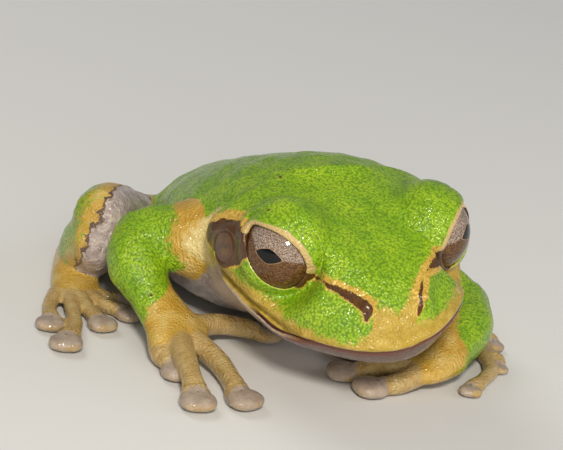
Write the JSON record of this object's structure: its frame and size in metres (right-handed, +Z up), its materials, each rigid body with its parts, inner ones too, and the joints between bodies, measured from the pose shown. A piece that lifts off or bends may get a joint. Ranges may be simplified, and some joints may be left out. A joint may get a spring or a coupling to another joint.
{
  "type": "masked tree frog model",
  "caption": "Life-size tree frog at rest, green back with a tan lip, brown ear mask, bronze eyes and round toe pads, for display or study.",
  "frame": {"origin": "on the floor under the middle of the animal's bounding box", "axes": "+Z up; +Y from the snout to the rump, close to the body's length; +X to the frog's own left"},
  "size_m": [0.0546, 0.0606, 0.0231],
  "materials": {
    "green_skin": "moist lime green skin, finely granular, satin with small bright glints",
    "tan_skin": "moist ochre tan skin, granular, with fine folds",
    "grey_pad": "smooth moist greyish tan toes with glossy pads",
    "pale_throat": "moist pale granular throat skin with a brown lip edge",
    "eye_bronze": "wet clear cornea over a bronze and silvery iris with a black horizontal pupil",
    "ear_brown": "wet chocolate brown eardrum, smooth and glossy"
  },
  "bodies": {
    "root": {"head": "green_skin", "torso": "green_skin", "upper_arm_l": "green_skin", "upper_arm_r": "green_skin", "forearm_l": "green_skin", "forearm_r": "green_skin", "thigh_l": "green_skin", "thigh_r": "green_skin", "shank_l": "green_skin", "shank_r": "green_skin", "hand_l": "tan_skin", "hand_r": "tan_skin", "foot_l": "tan_skin", "foot_r": "tan_skin", "finger_l1": "tan_skin", "finger_l2": "tan_skin", "finger_l3": "tan_skin", "finger_l4": "tan_skin", "finger_r1": "tan_skin", "finger_r2": "tan_skin", "finger_r3": "tan_skin", "finger_r4": "tan_skin", "toe_l1": "grey_pad", "toe_l2": "grey_pad", "toe_l3": "grey_pad", "toe_l4": "grey_pad", "toe_l5": "grey_pad", "toe_r1": "grey_pad", "toe_r2": "grey_pad", "toe_r3": "grey_pad", "toe_r4": "grey_pad", "toe_r5": "grey_pad", "lower_jaw": "pale_throat", "eye_l": "eye_bronze", "eye_r": "eye_bronze", "tympanum_l": "ear_brown", "tympanum_r": "ear_brown"}
  },
  "joints": []
}
